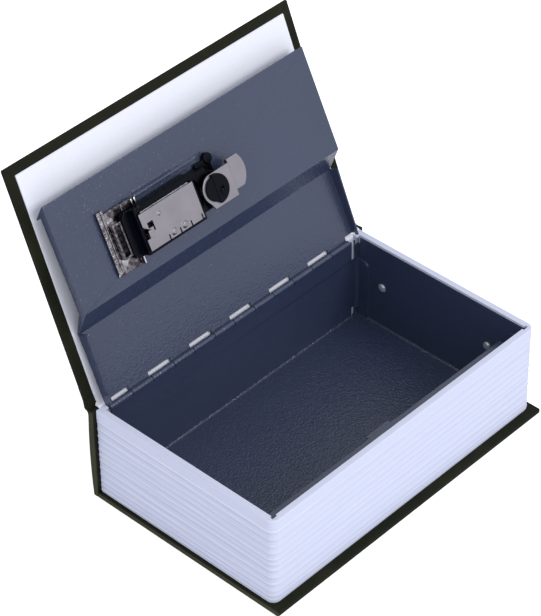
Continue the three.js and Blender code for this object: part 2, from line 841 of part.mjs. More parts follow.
function lockBackplate() {
  const x = lock.spindleX;
  const y = spindleReach;
  const low = plateBase - overrun;
  const high = plateTop + overrun;
  const edge = y - plate.below;
  const sheet = block(x - plate.left, x - plate.right, edge, y + plate.above, plateBase, plateTop);
  const holeX = x - plateHole.offset;
  const holeY = y + plateHole.rise;
  const half = plateHole.width / 2;
  const square = block(holeX - half, holeX + half, holeY - half, holeY + half, low, high);
  const slitX = holeX + half;
  const slitEnd = slitX + plateHole.slitWidth;
  const slit = block(slitX, slitEnd, holeY - plateHole.slitLength, holeY + half, low, high);
  const notchX = x - plate.left;
  const notchOutline = [
    [notchX - overrun, y + plateNotch.low],
    [notchX + plateNotch.depth, y + plateNotch.low],
    [notchX + plateNotch.depth, y + plateNotch.shoulder],
    [notchX, y + plateNotch.high],
    [notchX - overrun, y + plateNotch.high],
  ];
  const notch = prismZ(notchOutline, low, high);
  const slits = Array.from({ length: dial.count + 1 }, (_, i) => {
    const left = dialCentre(i) + dial.pitch / 2 - plateSlit.width / 2;
    return block(left, left + plateSlit.width, edge - overrun, edge + plateSlit.length, low, high);
  });
  const dimples = dialNumbers().slice(1).map((number) => {
    const dx = dialCentre(number) - dial.pitch / 2 - dial.pitch + plateDimple.shift;
    const dimpleTop = plateTop + plateDimple.height;
    const dy = y + plateDimple.rise;
    return roundZ(dx, dy, plateBase, dimpleTop, plateDimple.radius, plateDimple.crownRadius);
  });
  const studX = x - plateStud.offset;
  const studY = y + plateStud.rise;
  const studTop = plateTop + plateStud.height;
  const stud = roundZ(studX, studY, plateBase, studTop, plateStud.radius, plateStud.crownRadius);
  return join(cut(sheet, square, slit, notch, ...slits), stud, ...dimples);
}

// A bright pressing that clamps the left end of the lock, with a rolled edge, a rail and a closed loop
function lockEndClip() {
  const x = lock.spindleX;
  const y = spindleReach;
  const base = lockFloor;
  const top = base + clip.sheet;
  const x0 = x - clip.left;
  const y0 = y - clip.below;
  const y1 = y + clip.above;
  const bodyLow = y - body.below - clearance;
  const bodyHigh = y + body.above + clearance;
  const armEnd = x - clip.topArm;
  const sheet = block(x0, armEnd, y0, y1, base, top);
  const seat = prismZ(bodyEndOutline(clearance, armEnd + overrun), base - overrun, top + overrun);
  const corner = block(x - clip.bottomArm, armEnd + overrun, y0 - overrun, y, base - overrun, top + overrun);
  const rimLow = y - clip.rimBelow;
  const rimHigh = y + clip.rimAbove;
  const rim = block(x0, x0 + clip.barWidth, rimLow, rimHigh, base, top + clip.barHeight);
  const railStart = x0 + clip.barWidth + clip.railGap;
  const railEnd = railStart + clip.railWidth;
  const edgeRail = block(railStart, railEnd, rimLow, rimHigh, base, top + clip.railHeight);
  const loopStart = railEnd + clip.tongueGap;
  const loopEnd = loopStart + clip.tongueWidth;
  const loopLow = y - clip.tongueBelow;
  const loopHigh = y + clip.tongueAbove;
  const wall = clip.tongueWall;
  const loopTop = top + clip.tongueHeight;
  const loop = cut(
    block(loopStart, loopEnd, loopLow, loopHigh, base, loopTop),
    block(loopStart + wall, loopEnd - wall, loopLow + wall, loopHigh - wall, top, loopTop + overrun),
  );
  const tabs = [0, clip.tabPitch].map((shift) => {
    const tabX = x - clip.topArm - clip.tabWidth - shift;
    return block(tabX, tabX + clip.tabWidth, bodyHigh, y1, base, top + clip.tabHeight);
  });
  const footX = x - clip.bottomArm - clip.tabWidth;
  const foot = block(footX, footX + clip.tabWidth, y0, bodyLow, base, top + clip.tabHeight);
  const step = block(x - body.left + clip.stepInset, armEnd, bodyHigh, y1, base, top + clip.stepHeight);
  return join(cut(sheet, seat, corner), rim, edgeRail, loop, ...tabs, foot, step);
}

function dialShaft() {
  const left = lock.spindleX - body.mainLeft + shaft.endGap;
  const right = lock.spindleX - body.mainRight - shaft.endGap;
  return roundX(left, right, dialAxisReach, dialAxisDepth, shaft.radius);
}

function dialWheel(number) {
  const x = dialCentre(number);
  const half = dial.width / 2;
  const rim = roundX(x - half, x + half, dialAxisReach, dialAxisDepth, dial.radius, dial.radius, dial.flats);
  const bore = roundX(x - dial.width, x + dial.width, dialAxisReach, dialAxisDepth, shaft.radius + running);
  return cut(rim, bore);
}

function codeSleeve(number) {
  const x = dialCentre(number) - dial.width / 2 - clearance;
  const round = roundX(x - sleeve.width, x, dialAxisReach, dialAxisDepth, sleeve.radius);
  const left = x - dial.width;
  const right = x + dial.width;
  const bore = roundX(left, right, dialAxisReach, dialAxisDepth, shaft.radius + running);
  const above = dialAxisReach + sleeve.flat;
  const low = dialAxisDepth - dial.radius;
  const flat = block(left, right, above, above + dial.radius, low, dialAxisDepth + dial.radius);
  return cut(round, bore, flat);
}

// A leaf spring along the dials, with one bump for each
function detentSpring() {
  const base = cavityBelow + clearance;
  const left = dialCentre(1) - dial.pitch / 2;
  const right = dialCentre(dial.count) + dial.width / 2;
  const bumps = dialNumbers().flatMap((number) => {
    const x = dialCentre(number);
    const quarter = dial.pitch / 4;
    return [
      [x - quarter, 0],
      [x - quarter / 2, detent.bump],
      [x + quarter / 2, detent.bump],
      [x + quarter, 0],
    ];
  });
  const line = [[left, 0], ...bumps, [right, 0]];
  const lower = line.map(([x, rise]) => [x, base + rise]);
  const upper = line.map(([x, rise]) => [x, base + rise + detent.thickness]).reverse();
  const top = bodyTop - clearance;
  return prismZ([...lower, ...upper], top - detent.height, top);
}

// The bar that drops into the sleeves' flats once they line up
function lockingFence() {
  const y1 = cavityAbove - clearance;
  const z1 = bodyTop - clearance;
  const x0 = cavityLeft + fence.endGap;
  return block(x0, cavityRight - fence.endGap, y1 - fence.width, y1, z1 - fence.height, z1);
}

function resetSlider() {
  const x0 = lock.spindleX - resetLever.left;
  const y0 = spindleReach + resetLever.low;
  const y1 = y0 + resetLever.headLength;
  const head = plateTop + clearance;
  const stem = block(x0, x0 + resetLever.width, y0, y0 + resetLever.length, plateTop - resetLever.sink, head);
  return join(stem, block(x0, x0 + resetLever.headWidth, y0, y1, head, head + resetLever.head));
}

function lockScrew({ offset, rise }) {
  const x = lock.spindleX + offset;
  const y = spindleReach + rise;
  const head = roundZ(x, y, knobFoot - screw.head, knobFoot, screw.crownRadius, screw.headRadius);
  return join(head, roundZ(x, y, knobFoot, screwEnd, screw.shankRadius));
}

function spindleCollar() {
  const low = spindleSeat + clearance;
  const ring = roundZ(lock.spindleX, spindleReach, low, low + collar.height, collar.radius);
  const high = low + collar.height + overrun;
  return cut(ring, roundZ(lock.spindleX, spindleReach, low - overrun, high, spindle.radius + running));
}

function spindlePiece() {
  const x = lock.spindleX;
  const y = spindleReach;
  const discLow = hubHigh + clearance;
  const discHigh = discLow + spindle.disc;
  const start = knobFoot - spindle.knobDepth + clearance;
  const rod = roundZ(x, y, start, discLow, spindle.radius);
  const disc = roundZ(x, y, discLow, discHigh, spindle.discRadius, spindle.discRadius, roundSteps);
  const stepFloor = discHigh - spindle.stepDepth;
  const stepX = x - spindle.stepShift;
  const outside = overrun + spindle.discRadius;
  const ring = cut(
    block(x - outside, stepX, y - outside, y + outside, discLow, discHigh + overrun),
    roundZ(x, y, discLow - overrun, stepFloor, spindle.stepRadius, spindle.stepRadius, roundSteps),
  );
  const socketX = x + spindle.socketShift - spindle.socket / 2;
  const socketY = y + spindle.socketRise - spindle.socket / 2;
  const socketFloor = discHigh - spindle.socketDepth;
  const socket = block(
    socketX,
    socketX + spindle.socket,
    socketY,
    socketY + spindle.socket,
    socketFloor,
    discHigh + overrun,
  );
  return cut(join(rod, disc), ring, socket);
}

// The cam: a flat hub round the spindle and a blade stepped down from it
function camPiece() {
  const x = lock.spindleX;
  const y = spindleReach;
  const jog0 = x + cam.jogStart;
  const jog1 = jog0 + cam.jogRun;
  const tip = x + cam.reach;
  const bladeLow = hubLow - cam.jogDrop;
  const side = [
    [hubLow, x - cam.hubRadius],
    [hubHigh, x - cam.hubRadius],
    [hubHigh, jog0],
    [hubHigh - cam.jogDrop, jog1],
    [hubHigh - cam.jogDrop, tip],
    [bladeLow, tip],
    [bladeLow, jog1 - cam.sheet / 2],
    [hubLow, jog0 - cam.sheet / 2],
  ];
  const profile = prismY(side, y - cam.hubRadius - overrun, y + cam.tipAbove + overrun);
  const arcStart = Math.PI * hubArcShares.start;
  const leftArc = arcPoints(x, y, cam.hubRadius, arcStart, Math.PI * hubArcShares.end, smallSteps);
  const tipArc = arcPoints(
    tip - cam.tipRadius,
    y + cam.tipRise,
    cam.tipRadius,
    -Math.asin((cam.tipBelow + cam.tipRise) / cam.tipRadius),
    Math.asin((cam.tipAbove - cam.tipRise) / cam.tipRadius),
    smallSteps,
  );
  const outline = [
    ...leftArc,
    [x - cam.cornerLeft, y - cam.below],
    [jog1, y - cam.below],
    [jog1, y - cam.tipBelow],
    ...tipArc,
    [jog0, y + cam.tipAbove],
    [jog0, y + cam.above],
  ];
  const plan = prismZ(outline, bladeLow - overrun, hubHigh + overrun);
  const bore = roundZ(x, y, hubLow - overrun, hubHigh + overrun, spindle.radius + running);
  return cut(profile.intersect(plan), bore);
}

function knobPiece() {
  const x = lock.spindleX;
  const y = spindleReach;
  const rim = knobFoot - knob.flange;
  const flange = roundZ(x, y, rim, knobFoot, knob.radius, knob.radius, roundSteps);
  const grip = roundedRectangle(
    x - knob.gripLength / 2,
    x + knob.gripLength / 2,
    y - knob.gripWidth / 2,
    y + knob.gripWidth / 2,
    knob.gripWidth / 3,
  );
  const whole = join(flange, prismZ(grip, rim - knob.grip, rim));
  return cut(whole, roundZ(x, y, knobFoot - spindle.knobDepth, knobFoot + overrun, spindle.radius + running));
}

place(book, "back_cover_board", backCoverBoard(), olive);
place(book, "spine_board", spineBoard(), olive);
place(book, "front_joint_cloth", frontJointCloth(), olive);
place(book, "front_joint_paper", jointPaperStrip(), paper);
place(book, "page_block", pageBlock(), whitePlastic);
place(book, "box_tray", boxTray(), slateSteel);
place(book, "hinge_pin", hingePin(), slateSteel);
place(book, "lid_rest_rail", lidRestRail(), slateSteel);
place(book, "latch_strike", latchStrike(), zinc);
rivetPlaces().forEach((spot, i) => place(book, `case_rivet_${i + 1}`, caseRivet(spot), zinc));

place(coverGroup, "front_cover_board", frontCoverBoard(), olive);
place(coverGroup, "front_endpaper", frontEndpaper(), paper);

place(lidGroup, "lid_panel", lidPanel(), slateSteel);
place(lidGroup, "lock_faceplate", lockFaceplate(), blackPlastic);
place(lidGroup, "lock_body", lockBody(), blackPlastic);
place(lidGroup, "lock_backplate", lockBackplate(), nickel);
place(lidGroup, "lock_end_clip", lockEndClip(), chrome);
place(lidGroup, "dial_shaft", dialShaft(), zinc);
place(lidGroup, "detent_spring", detentSpring(), zinc);
place(lidGroup, "locking_fence", lockingFence(), zinc);
place(lidGroup, "spindle_collar", spindleCollar(), blackPlastic);
bosses.forEach((spot, i) => place(lidGroup, `lock_screw_${i + 1}`, lockScrew(spot), zinc));
dialNumbers().forEach((number) => {
  place(lidGroup, `dial_wheel_${number}`, dialWheel(number), chrome);
  place(lidGroup, `code_sleeve_${number}`, codeSleeve(number), zinc);
});
place(lidGroup, "reset_lever", resetSlider(), nickel);
place(lidGroup, "spindle", spindlePiece(), blackPlastic);
place(lidGroup, "cam", camPiece(), nickel);
place(lidGroup, "knob", knobPiece(), blackPlastic);

export default book;
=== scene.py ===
# Book diversion safe, open, as in the photograph: camera, studio, materials and fine detail.
import json
import math

import bpy
import bmesh
from mathutils import Matrix, Vector


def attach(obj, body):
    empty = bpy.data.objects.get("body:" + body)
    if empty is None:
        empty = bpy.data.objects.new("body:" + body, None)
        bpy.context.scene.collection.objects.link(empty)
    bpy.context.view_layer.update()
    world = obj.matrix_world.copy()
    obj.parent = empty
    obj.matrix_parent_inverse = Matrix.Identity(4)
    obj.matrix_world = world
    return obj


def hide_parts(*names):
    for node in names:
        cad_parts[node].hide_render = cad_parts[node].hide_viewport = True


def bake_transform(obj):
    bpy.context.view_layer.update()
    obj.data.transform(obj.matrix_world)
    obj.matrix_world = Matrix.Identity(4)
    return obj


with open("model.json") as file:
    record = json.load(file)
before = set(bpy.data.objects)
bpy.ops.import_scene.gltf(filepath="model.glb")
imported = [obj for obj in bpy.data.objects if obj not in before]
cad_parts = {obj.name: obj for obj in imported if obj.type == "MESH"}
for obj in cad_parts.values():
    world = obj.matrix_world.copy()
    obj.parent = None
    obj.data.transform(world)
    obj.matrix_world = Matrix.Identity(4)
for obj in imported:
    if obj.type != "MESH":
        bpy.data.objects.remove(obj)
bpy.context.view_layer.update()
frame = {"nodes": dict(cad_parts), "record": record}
nodes = frame["nodes"]

MM = 0.001

# Book and tray, in millimetres as in the CAD: ends along X, depths along Y, heights along Z
BOARD_END = 90.0
COVER_INSET = 1.1
PAPER_END = 84.7
PAGE_TOP = 51.6
PAGE_BASE = 2.5
PAGE_BAND = 5.4
SPINE_IN = 53.7
SPINE_OUT = 56.4
SPINE_TOP = 51.5
TRAY_SHEET = 0.8
TRAY_END = 83.7
TRAY_FRONT = -50.3
TRAY_REAR = 51.8
TRAY_FLOOR = 3.3
RIVETS = [(side, y, PAGE_BASE + rise) for side in (-1, 1) for y, rise in ((36.0, 24.5), (-29.1, 25.4))]
RIVET_HEAD = 1.2
RIVET_RADIUS = 2.3

# Where the page block's ridges lie, as shares of its height from the top down
PAGE_RIDGE_SHARES = [0.137, 0.228, 0.308, 0.391, 0.468, 0.54, 0.601, 0.697, 0.78, 0.861, 0.919, 0.972]

# The two hinges as [y, z], and how far each stands open
HINGE = (51.0, 50.8)
COVER_AXIS = (55.4, 51.1)
LID_OPEN = math.radians(116)
COVER_OPEN = math.radians(112)

# The lock, in the lid's own millimetres: [x, v] for places on the lid, w for depths
SPINDLE = (0.5, 67.6)
LOCK_FLOOR = 10.6
FACEPLATE_FRONT = 7.5
FACEPLATE_GAP = 0.3
SCREWS = [(SPINDLE[0] + 7.0, SPINDLE[1] + 11.8), (SPINDLE[0] - 7.6, SPINDLE[1] - 8.0)]
DIAL_AXIS = (67.8, 12.3)
DIAL_OFFSET = 15.35
DIAL_PITCH = 6.77
DIAL_WIDTH = 5.2
DIAL_FLATS = 10
DIAL_X = [SPINDLE[0] - DIAL_OFFSET - (2 - i) * DIAL_PITCH for i in range(3)]
DIGIT_SIZE = 3.3
DIGIT_RADIUS = 5.86


def linear(rgb):
    """sRGB values of 0 to 255 as a linear colour."""
    out = []
    for value in rgb:
        c = value / 255
        out.append(c / 12.92 if c <= 0.04045 else ((c + 0.055) / 1.055) ** 2.4)
    return (*out, 1.0)


def on_lid(x, v, w):
    """A point of the open lid, in metres: v runs from the pin to the free edge, w into the box."""
    cos, sin = math.cos(LID_OPEN), math.sin(LID_OPEN)
    return Vector((x, HINGE[0] - v * cos - w * sin, HINGE[1] + v * sin - w * cos)) * MM


def on_cover(along, out):
    """A [y, z] place on the open cover in millimetres, counted from its joint's axis."""
    cos, sin = math.cos(COVER_OPEN), math.sin(COVER_OPEN)
    return (COVER_AXIS[0] - along * cos + out * sin, COVER_AXIS[1] + along * sin + out * cos)


def eased(value, start, reach):
    """0 up to start, rising to 1 at start + reach."""
    return min(1, max(0, (value - start) / reach))


def make_camera():
    """The camera, whose lens, place and angles were fitted to the photograph."""
    place = (-0.697955, -0.63618, 0.869876)
    heading, tilt, roll = math.radians(-46.3499), math.radians(50.3284), math.radians(-0.8558)
    data = bpy.data.cameras.new("camera")
    data.sensor_width = 36
    data.lens = 162.34
    data.clip_start = 0.01
    data.clip_end = 20
    camera = bpy.data.objects.new("camera", data)
    turn = Matrix.Rotation(heading, 4, "Z") @ Matrix.Rotation(tilt, 4, "X") @ Matrix.Rotation(roll, 4, "Z")
    camera.matrix_world = Matrix.Translation(place) @ turn
    bpy.context.collection.objects.link(camera)
    bpy.context.scene.camera = camera


# Materials

class Surface:
    """A Principled material with short ways to add procedural detail."""

    def __init__(self, name, rgb, roughness, metallic=0.0):
        self.material = bpy.data.materials.new(name)
        self.material.use_nodes = True
        self.nodes = self.material.node_tree.nodes
        self.links = self.material.node_tree.links
        self.shader = self.nodes["Principled BSDF"]
        self.shader.inputs["Base Color"].default_value = linear(rgb)
        self.shader.inputs["Roughness"].default_value = roughness
        self.shader.inputs["Metallic"].default_value = metallic
        self.place = self.nodes.new("ShaderNodeTexCoord").outputs["Object"]

    def set(self, **values):
        """Fixed values on the shader's own sockets."""
        for name, value in values.items():
            self.shader.inputs[name.replace("_", " ")].default_value = value
        return self

    def stretched(self, scale, turn=(0, 0, 0)):
        """The place on the object, turned and scaled for a stretched pattern."""
        mapping = self.nodes.new("ShaderNodeMapping")
        mapping.inputs["Scale"].default_value = scale
        mapping.inputs["Rotation"].default_value = turn
        self.links.new(self.place, mapping.inputs["Vector"])
        return mapping.outputs["Vector"]

    def noise(self, scale, detail=2.0, rough=0.5, vector=None, distortion=0.0):
        """Noise of 0 to 1, whose scale is in patches per metre unless the vector is stretched."""
        node = self.nodes.new("ShaderNodeTexNoise")
        node.inputs["Scale"].default_value = scale
        node.inputs["Detail"].default_value = detail
        node.inputs["Roughness"].default_value = rough
        node.inputs["Distortion"].default_value = distortion
        self.links.new(vector or self.place, node.inputs["Vector"])
        return node.outputs["Fac"]

    def span(self, value, low, high, from_low=0.0, from_high=1.0):
        """A value between from_low and from_high, carried over to low and high."""
        node = self.nodes.new("ShaderNodeMapRange")
        limits = {"From Min": from_low, "From Max": from_high, "To Min": low, "To Max": high}
        for name, number in limits.items():
            node.inputs[name].default_value = number
        self.links.new(value, node.inputs["Value"])
        return node.outputs["Result"]

    def math(self, operation, a, b=None):
        """The result of an operation on one or two sockets or numbers."""
        node = self.nodes.new("ShaderNodeMath")
        node.operation = operation
        for socket, value in zip(node.inputs, (a, b)):
            if value is None:
                continue
            if isinstance(value, (int, float)):
                socket.default_value = value
            else:
                self.links.new(value, socket)
        return node.outputs["Value"]

    def axis(self, name):
        """One coordinate of the place on the object, in metres."""
        node = self.nodes.new("ShaderNodeSeparateXYZ")
        self.links.new(self.place, node.inputs["Vector"])
        return node.outputs[name]

    def ramp(self, factor, stops):
        """A colour ramp of (position, linear colour) stops."""
        node = self.nodes.new("ShaderNodeValToRGB")
        elements = node.color_ramp.elements
        while len(elements) < len(stops):
            elements.new(0.5)
        for element, (position, color) in zip(elements, stops):
            element.position = position
            element.color = color
        self.links.new(factor, node.inputs["Fac"])
        return node.outputs["Color"]

    def shade(self, factor, *stops):
        """Base colour from a ramp of (position, rgb) stops."""
        color = self.ramp(factor, [(position, linear(rgb)) for position, rgb in stops])
        self.links.new(color, self.shader.inputs["Base Color"])
        return self

    def rough(self, factor, low, high):
        """Roughness between low and high."""
        self.links.new(self.span(factor, low, high), self.shader.inputs["Roughness"])
        return self

    def bump(self, height, distance, strength=1.0, layer="Normal"):
        """Relief of this depth in metres, on top of what the layer has already."""
        node = self.nodes.new("ShaderNodeBump")
        node.inputs["Distance"].default_value = distance
        node.inputs["Strength"].default_value = strength
        self.links.new(height, node.inputs["Height"])
        previous = self.shader.inputs[layer].links
        if previous:
            self.links.new(previous[0].from_socket, node.inputs["Normal"])
        self.links.new(node.outputs["Normal"], self.shader.inputs[layer])
        return self


def darker(rgb, share):
    """The same colour at a share of its brightness."""
    return tuple(value * share for value in rgb)


def book_cloth():
    """Coated book cloth: a fine weave, faint blotches, and a painted highlight that makes the ends paler.
    """
    base = (29, 31, 20)
    s = Surface("book_cloth", base, 0.7)
    s.set(Specular_IOR_Level=0.1)
    blotch = s.noise(45, 4, 0.6)
    end = s.span(s.math("ABSOLUTE", s.axis("X")), 0.0, 1.0, (BOARD_END - 0.7) * MM, (BOARD_END - 0.2) * MM)
    low = s.span(s.axis("Z"), 1.0, 0.0, (SPINE_TOP - 1.5) * MM, SPINE_TOP * MM)
    # Painted highlight: the end faces below the top edge are made paler, then mixed with the random
    # blotches in one ramp.
    painted_end_highlight = s.math("MULTIPLY", s.math("MULTIPLY", end, low), 0.5)
    s.shade(s.math("ADD", s.math("MULTIPLY", blotch, 0.5), painted_end_highlight),
            (0.12, darker(base, 0.75)), (0.27, base), (0.42, (43, 44, 30)), (0.8, (66, 68, 50)))
    warp = s.noise(1.0, 1, vector=s.stretched((2600, 500, 500)))
    weft = s.noise(1.0, 1, vector=s.stretched((500, 2600, 2600)))
    s.bump(s.math("ADD", warp, weft), 0.00005, 0.7)
    s.bump(blotch, 0.0004, 0.25)
    return s.rough(blotch, 0.55, 0.78).material


def endpaper():
    """Smooth white paper with a faint fibre."""
    s = Surface("endpaper", (241, 243, 253), 0.82)
    fibre = s.noise(900, 4, 0.6)
    s.shade(fibre, (0.25, (238, 240, 251)), (0.6, (242, 244, 254)), (0.9, (244, 246, 255)))
    s.bump(fibre, 0.00002, 0.35)
    return s.rough(fibre, 0.75, 0.9).material


def page_saw(s):
    """A value that climbs from 0 to 1 between each two ridges of the page block, on wavy lines."""
    wave = s.noise(1.0, 2, 0.5, vector=s.stretched((13, 13, 90)))
    height = s.math("ADD", s.axis("Z"), s.math("MULTIPLY", s.math("SUBTRACT", wave, 0.5), 0.0022))
    share = s.span(height, 0.0, 1.0, PAGE_BASE * MM, PAGE_TOP * MM)
    drop = 0.003
    levels = [(0.0, 0.0)]
    for ridge in reversed(PAGE_RIDGE_SHARES):
        levels += [(1 - ridge, 1.0), (1 - ridge + drop, 0.0)]
    return s.ramp(share, [(position, (level, level, level, 1)) for position, level in levels])


def page_plastic():
    """White moulded plastic: uneven page lines below a smooth top band, clearest on the two ends, drawn as
    painted shade under each ridge and a thin painted highlight over it, with fine random lines.
    """
    base = (215, 220, 242)
    s = Surface("page_plastic", base, 0.55)
    s.set(Specular_IOR_Level=0.3)
    saw = page_saw(s)
    # Painted shade just under each ridge crest, and a painted highlight just above it.
    below = s.math("POWER", saw, 3.0)
    above = s.math("POWER", s.math("SUBTRACT", 1.0, saw), 9.0)
    fine = s.noise(1.0, 2, 0.7, vector=s.stretched((22, 22, 1500)))
    lines = s.math("SUBTRACT", s.math("MULTIPLY", above, 0.5), s.math("MULTIPLY", below, 0.3))
    lines = s.math("ADD", lines, s.math("MULTIPLY", s.math("SUBTRACT", fine, 0.5), 0.9))
    height = s.axis("Z")
    band_foot = PAGE_TOP - PAGE_BAND
    off_base = s.span(height, 0.0, 1.0, (PAGE_BASE + 0.1) * MM, (PAGE_BASE + 0.6) * MM)
    off_band = s.span(height, 1.0, 0.0, (band_foot - 1.0) * MM, (band_foot - 0.3) * MM)
    facing = s.nodes.new("ShaderNodeSeparateXYZ")
    s.links.new(s.nodes.new("ShaderNodeNewGeometry").outputs["True Normal"], facing.inputs["Vector"])
    end = s.span(s.math("ABSOLUTE", facing.outputs["X"]), 0.3, 1.0)
    for share in (off_base, off_band, end):
        lines = s.math("MULTIPLY", lines, share)
    # The painted ridge shade and highlight set the base colour here, and the same values also give the
    # relief.
    tone = s.math("ADD", lines, 0.5)
    s.shade(tone, (0.0, (186, 190, 226)), (0.5, base), (1.0, (240, 243, 254)))
    s.bump(lines, 0.0005, 0.5)
    s.bump(s.noise(900, 2), 0.00002, 0.4)
    return s.rough(fine, 0.5, 0.65).material


def slate_steel():
    """Slate powder coat with an orange-peel surface, coarser on the tray's floor, where it glitters."""
    base = (51, 61, 89)
    s = Surface("slate_steel", base, 0.5)
    s.set(Coat_Weight=1.0, Coat_Roughness=0.06, Specular_IOR_Level=0.2)
    peel = s.noise(1020, 1, 0.5, distortion=0.4)
    grain = s.noise(2600, 2, 0.6)
    tone = s.noise(9, 2)
    s.shade(tone, (0.3, darker(base, 0.95)), (0.7, darker(base, 1.04)))
    s.bump(peel, 0.00013, 0.7)
    s.bump(grain, 0.00004, 0.5)
    on_floor, higher_up = 1.1, 0.4
    floor_height, wall_height = 0.003, 0.012
    coarse = s.span(s.axis("Z"), on_floor, higher_up, floor_height, wall_height)
    s.bump(s.math("MULTIPLY", peel, coarse), 0.0005, 1.0, "Coat Normal")
    return s.rough(grain, 0.42, 0.58).material


def nickel_steel():
    """Satin nickel plate, finely brushed along the lock."""
    base = (151, 147, 154)
    s = Surface("nickel_steel", base, 0.3, 1.0)
    lines = s.noise(1.0, 3, 0.6, vector=s.stretched((90, 3200, 3200)))
    cloud = s.noise(90, 2)
    s.shade(cloud, (0.25, darker(base, 0.95)), (0.6, base), (0.85, darker(base, 1.04)))
    s.bump(lines, 0.00002, 0.35)
    return s.rough(lines, 0.26, 0.38).material


def chrome_steel():
    """Bright plating over a pressing: painted reflections as dark and light bands along the bends, faint
    stains, and a painted highlight on its edges.
    """
    base = (150, 146, 150)
    s = Surface("chrome_steel", base, 0.1, 1.0)
    along_lid = (LID_OPEN - math.pi, 0, 0)
    # Painted reflections: dark and light bands stretched along the lid, as a bent mirror would show them.
    reflection_streak = s.noise(1.0, 3, 0.55, vector=s.stretched((620, 50, 620), along_lid), distortion=0.3)
    stain = s.noise(220, 3, 0.6, distortion=0.6)
    reflection_and_stain = s.math("ADD", s.math("MULTIPLY", reflection_streak, 0.75), s.math("MULTIPLY", stain, 0.25))
    # Painted highlight: convex edges, found by pointiness, are made brighter.
    geometry = s.nodes.new("ShaderNodeNewGeometry")
    edge = s.span(geometry.outputs["Pointiness"], 0.0, 0.5, 0.52, 0.6)
    s.shade(s.math("ADD", reflection_and_stain, edge),
            (0.4, (72, 67, 72)), (0.52, (104, 99, 104)), (0.65, base), (0.95, (228, 226, 230)))
    s.bump(stain, 0.00005, 0.3)
    return s.rough(reflection_and_stain, 0.2, 0.1).material


def zinc_steel():
    """Zinc-plated small metal parts."""
    base = (204, 207, 216)
    s = Surface("zinc_steel", base, 0.3, 0.55)
    cloud = s.noise(700, 3)
    s.shade(cloud, (0.2, darker(base, 0.8)), (0.6, base), (0.9, darker(base, 1.08)))
    s.bump(cloud, 0.00005, 0.3)
    return s.rough(cloud, 0.22, 0.4).material


def black_plastic():
    """Black moulded plastic with a faint spark-eroded grain."""
    base = (4, 5, 14)
    s = Surface("black_plastic", base, 0.32)
    s.set(Specular_IOR_Level=0.1)
    grain = s.noise(1500, 3, 0.6)
    s.shade(s.noise(60, 2), (0.3, darker(base, 0.7)), (0.7, darker(base, 1.4)))
    s.bump(grain, 0.00004, 0.4)
    return s.rough(grain, 0.2, 0.38).material


def pale_ink():
    """Matt white filling of the knob's mark."""
    s = Surface("pale_ink", (232, 232, 228), 0.7)
    wear = s.noise(1800, 3)
    s.shade(wear, (0.2, (206, 206, 200)), (0.6, (234, 234, 230)))
    s.bump(wear, 0.00002, 0.4)
    return s.material


SLOTS = {
    "book_cloth": book_cloth(),
    "endpaper": endpaper(),
    "page_plastic": page_plastic(),
    "slate_steel": slate_steel(),
    "nickel_steel": nickel_steel(),
    "chrome_steel": chrome_steel(),
    "zinc_steel": zinc_steel(),
    "black_plastic": black_plastic(),
}
INK = pale_ink()


# Modifiers that soften the CAD's sharp edges

def smooth_group():
    """A node group that shades faces smooth, but not across edges of more than 35 degrees."""
    group = bpy.data.node_groups.new("smooth_by_angle", "GeometryNodeTree")
    group.interface.new_socket("Geometry", in_out="INPUT", socket_type="NodeSocketGeometry")
    group.interface.new_socket("Geometry", in_out="OUTPUT", socket_type="NodeSocketGeometry")
    start = group.nodes.new("NodeGroupInput")
    end = group.nodes.new("NodeGroupOutput")
    faces = group.nodes.new("GeometryNodeSetShadeSmooth")
    faces.domain = "FACE"
    edges = group.nodes.new("GeometryNodeSetShadeSmooth")
    edges.domain = "EDGE"
    edges.inputs["Shade Smooth"].default_value = False
    angle = group.nodes.new("GeometryNodeInputMeshEdgeAngle")
    sharp = group.nodes.new("FunctionNodeCompare")
    sharp.operation = "GREATER_THAN"
    sharp.inputs["B"].default_value = math.radians(35)
    group.links.new(angle.outputs["Unsigned Angle"], sharp.inputs["A"])
    group.links.new(start.outputs[0], faces.inputs["Geometry"])
    group.links.new(faces.outputs["Geometry"], edges.inputs["Geometry"])
    group.links.new(sharp.outputs["Result"], edges.inputs["Selection"])
    group.links.new(edges.outputs["Geometry"], end.inputs[0])
    return group


SMOOTH = smooth_group()


def soften(obj, width, weld=True):
    """Bevels the edges by a width in millimetres and shades the result smoothly."""
    if weld:
        obj.modifiers.new("weld", "WELD").merge_threshold = 0.000002
    if width:
        bevel = obj.modifiers.new("bevel", "BEVEL")
        bevel.width = width * MM
        bevel.segments = 3
        bevel.limit_method = "ANGLE"
        bevel.angle_limit = math.radians(40)
        bevel.use_clamp_overlap = False
    smooth = obj.modifiers.new("smooth", "NODES")
    smooth.node_group = SMOOTH
    weighted = obj.modifiers.new("weighted", "WEIGHTED_NORMAL")
    weighted.keep_sharp = True


# Bevel widths in millimetres, for the CAD parts that stay
BEVELS = {
    "back_cover_board": 0.6, "front_cover_board": 0.8, "box_tray": 0.22, "lid_panel": 0.26,
    "lid_rest_rail": 0.35, "latch_strike": 0.2, "page_block": 0.14, "lock_faceplate": 0.4,
    "lock_body": 0.3, "lock_backplate": 0.14, "lock_end_clip": 0.22, "reset_lever": 0.15,
    "spindle": 0.35, "spindle_collar": 0.15, "cam": 0.25, "knob": 0.6, "locking_fence": 0.15,
    "detent_spring": 0.0, "dial_shaft": 0.15, "hinge_pin": 0.15,
    "code_sleeve_1": 0.1, "code_sleeve_2": 0.1, "code_sleeve_3": 0.1,
}

for part in frame["record"]["subparts"]:
    node = nodes[part["node"]]
    for i in range(len(node.material_slots)):
        node.material_slots[i].material = SLOTS[part["material_slot"]]
for name, width in BEVELS.items():
    soften(nodes[name], width)


# Mesh helpers

